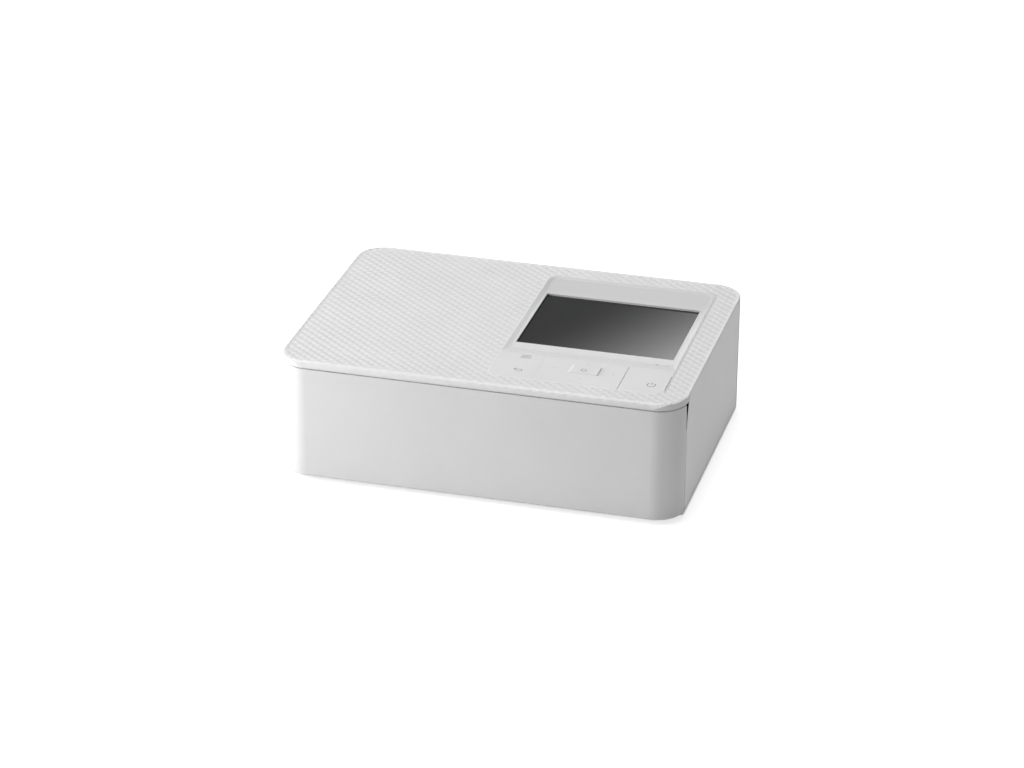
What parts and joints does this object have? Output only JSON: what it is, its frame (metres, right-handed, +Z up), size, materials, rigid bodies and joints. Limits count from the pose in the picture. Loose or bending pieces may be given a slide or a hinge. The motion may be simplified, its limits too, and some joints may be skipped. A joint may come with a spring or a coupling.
{
  "type": "compact photo printer",
  "caption": "Low white desktop photo printer with rounded corners, a dark screen window, a flat key strip, a drop-down front cover and a swinging side cover",
  "frame": {"origin": "middle of the footprint, on the plane under the feet", "axes": "+X to the right along the long side as seen from the front, +Y to the rear, +Z up"},
  "size_m": [0.1822, 0.133, 0.0581],
  "materials": {
    "white_shell": "satin white moulded plastic",
    "grey_plastic": "light grey moulded plastic",
    "foot_rubber": "dull rubber",
    "roller_rubber": "ground rubber",
    "zinc_screw": "zinc plated",
    "bright_steel": "ground steel",
    "galvanised_sheet": "galvanised sheet",
    "screen_window": "dark polished window",
    "display_frame": "dark sheet frame",
    "circuit_board": "solder mask",
    "black_plastic": "moulded black",
    "white_acetal": "moulded acetal",
    "ink_film": "thin coloured film",
    "head_carrier": "dark ceramic on a carrier",
    "aluminium": "extruded",
    "motor_can": "drawn steel can",
    "brass": "cut brass",
    "socket_shell": "tinned sheet"
  },
  "bodies": {
    "case": {"top_cover": "white_shell", "base_case": "white_shell", "left_panel": "white_shell", "rear_case": "white_shell", "front_frame": "grey_plastic", "feet": "foot_rubber", "case_screws": "zinc_screw", "lcd_window": "screen_window", "lcd_module": "display_frame", "lcd_bracket": "galvanised_sheet", "key_board": "circuit_board", "tact_switches": "black_plastic", "left_side_frame": "galvanised_sheet", "right_side_frame": "galvanised_sheet", "front_crossbar": "galvanised_sheet", "rear_crossbar": "galvanised_sheet", "cassette_rails": "grey_plastic", "chassis_screws": "zinc_screw", "shaft_bushes": "white_acetal", "head_pivots": "bright_steel", "paper_guide_lower": "grey_plastic", "paper_guide_upper": "grey_plastic", "ribbon_cassette": "white_shell", "ribbon_film": "ink_film", "feed_motor": "motor_can", "motor_bracket": "galvanised_sheet", "idler_studs": "bright_steel", "main_board": "circuit_board", "board_parts": "black_plastic", "sd_socket": "socket_shell", "usb_a_socket": "socket_shell", "usb_c_socket": "socket_shell", "dc_jack": "black_plastic"},
    "front_door": {"front_cover": "white_shell", "cover_pins": "bright_steel"},
    "side_door": {"side_cover": "white_shell"},
    "menu_back": {"menu_back_key": "white_shell"},
    "nav": {"nav_key": "white_shell"},
    "ok": {"ok_key": "white_shell"},
    "power": {"power_key": "white_shell"},
    "feed_roller": {"grip_roller": "bright_steel", "grip_gear": "white_acetal"},
    "pickup_roller": {"pickup_shaft": "bright_steel", "pickup_tyres": "roller_rubber", "pickup_gear": "white_acetal"},
    "pinch": {"pinch_roller": "roller_rubber"},
    "platen": {"platen_shaft": "bright_steel", "platen_roller": "roller_rubber"},
    "motor_shaft": {"motor_pinion": "brass"},
    "idler_front": {"idler_gear_front": "white_acetal"},
    "idler_middle": {"idler_gear_middle": "white_acetal"},
    "idler_rear": {"idler_gear_rear": "white_acetal"},
    "take_up": {"take_up_spool": "black_plastic", "take_up_roll": "ink_film", "take_up_gear": "white_acetal"},
    "supply": {"supply_spool": "black_plastic", "supply_roll": "ink_film"},
    "print_head": {"thermal_head": "head_carrier", "heat_sink": "aluminium", "head_bracket": "galvanised_sheet"}
  },
  "joints": [
    {"name": "front_cover_hinge", "type": "hinge", "parent": "case", "child": "front_door", "pos_m": [0, -0.0616, 0.0068], "axis": [1, 0, 0], "range_deg": [0, 90]},
    {"name": "side_cover_hinge", "type": "hinge", "parent": "case", "child": "side_door", "pos_m": [0.0888, 0.0529, 0.0294], "axis": [0, 0, 1], "range_deg": [0, 90]},
    {"name": "menu_back_press", "type": "slide", "parent": "case", "child": "menu_back", "axis": [0, 0, -1], "range_m": [0, 0.0004], "stiffness_N_per_m": 600, "springref_m": -0.0005},
    {"name": "nav_press", "type": "slide", "parent": "case", "child": "nav", "axis": [0, 0, -1], "range_m": [0, 0.0004], "stiffness_N_per_m": 600, "springref_m": -0.0005},
    {"name": "ok_press", "type": "slide", "parent": "case", "child": "ok", "axis": [0, 0, -1], "range_m": [0, 0.0004], "stiffness_N_per_m": 600, "springref_m": -0.0005},
    {"name": "power_press", "type": "slide", "parent": "case", "child": "power", "axis": [0, 0, -1], "range_m": [0, 0.0004], "stiffness_N_per_m": 600, "springref_m": -0.0005},
    {"name": "feed_roller_spin", "type": "hinge", "parent": "case", "child": "feed_roller", "pos_m": [0.022, -0.001, 0.021], "axis": [1, 0, 0], "continuous": true},
    {"name": "pickup_roller_spin", "type": "hinge", "parent": "case", "child": "pickup_roller", "pos_m": [0.022, -0.01499, 0.03233], "axis": [1, 0, 0], "continuous": true},
    {"name": "pinch_roller_spin", "type": "hinge", "parent": "case", "child": "pinch", "pos_m": [0.022, -0.001, 0.0287], "axis": [1, 0, 0], "continuous": true},
    {"name": "platen_spin", "type": "hinge", "parent": "case", "child": "platen", "pos_m": [0.022, 0.03, 0.0185], "axis": [1, 0, 0], "continuous": true},
    {"name": "motor_spin", "type": "hinge", "parent": "case", "child": "motor_shaft", "pos_m": [0.022, -0.01275, 0.01672], "axis": [1, 0, 0], "continuous": true},
    {"name": "idler_front_spin", "type": "hinge", "parent": "case", "child": "idler_front", "pos_m": [0.022, 0.01318, 0.02401], "axis": [1, 0, 0], "continuous": true},
    {"name": "idler_middle_spin", "type": "hinge", "parent": "case", "child": "idler_middle", "pos_m": [0.022, 0.02405, 0.02233], "axis": [1, 0, 0], "continuous": true},
    {"name": "idler_rear_spin", "type": "hinge", "parent": "case", "child": "idler_rear", "pos_m": [0.022, 0.03379, 0.02746], "axis": [1, 0, 0], "continuous": true},
    {"name": "take_up_spin", "type": "hinge", "parent": "case", "child": "take_up", "pos_m": [0.022, 0.046, 0.037], "axis": [1, 0, 0], "continuous": true},
    {"name": "supply_spin", "type": "hinge", "parent": "case", "child": "supply", "pos_m": [0.022, 0.014, 0.037], "axis": [1, 0, 0], "continuous": true},
    {"name": "print_head_lift", "type": "hinge", "parent": "case", "child": "print_head", "pos_m": [0.022, -0.006, 0.0464], "axis": [1, 0, 0], "range_deg": [0, 2.5]}
  ],
  "couplings": [
    {"joint": "pickup_roller_spin", "follows": "feed_roller_spin", "ratio": -1},
    {"joint": "pinch_roller_spin", "follows": "feed_roller_spin", "ratio": -1.1429},
    {"joint": "platen_spin", "follows": "feed_roller_spin", "ratio": 0.61538},
    {"joint": "motor_spin", "follows": "feed_roller_spin", "ratio": -2.5714},
    {"joint": "idler_front_spin", "follows": "feed_roller_spin", "ratio": -1.6364},
    {"joint": "idler_middle_spin", "follows": "feed_roller_spin", "ratio": 1.6364},
    {"joint": "idler_rear_spin", "follows": "feed_roller_spin", "ratio": -1.6364},
    {"joint": "take_up_spin", "follows": "feed_roller_spin", "ratio": 0.9},
    {"joint": "supply_spin", "follows": "feed_roller_spin", "ratio": 0.70714}
  ]
}
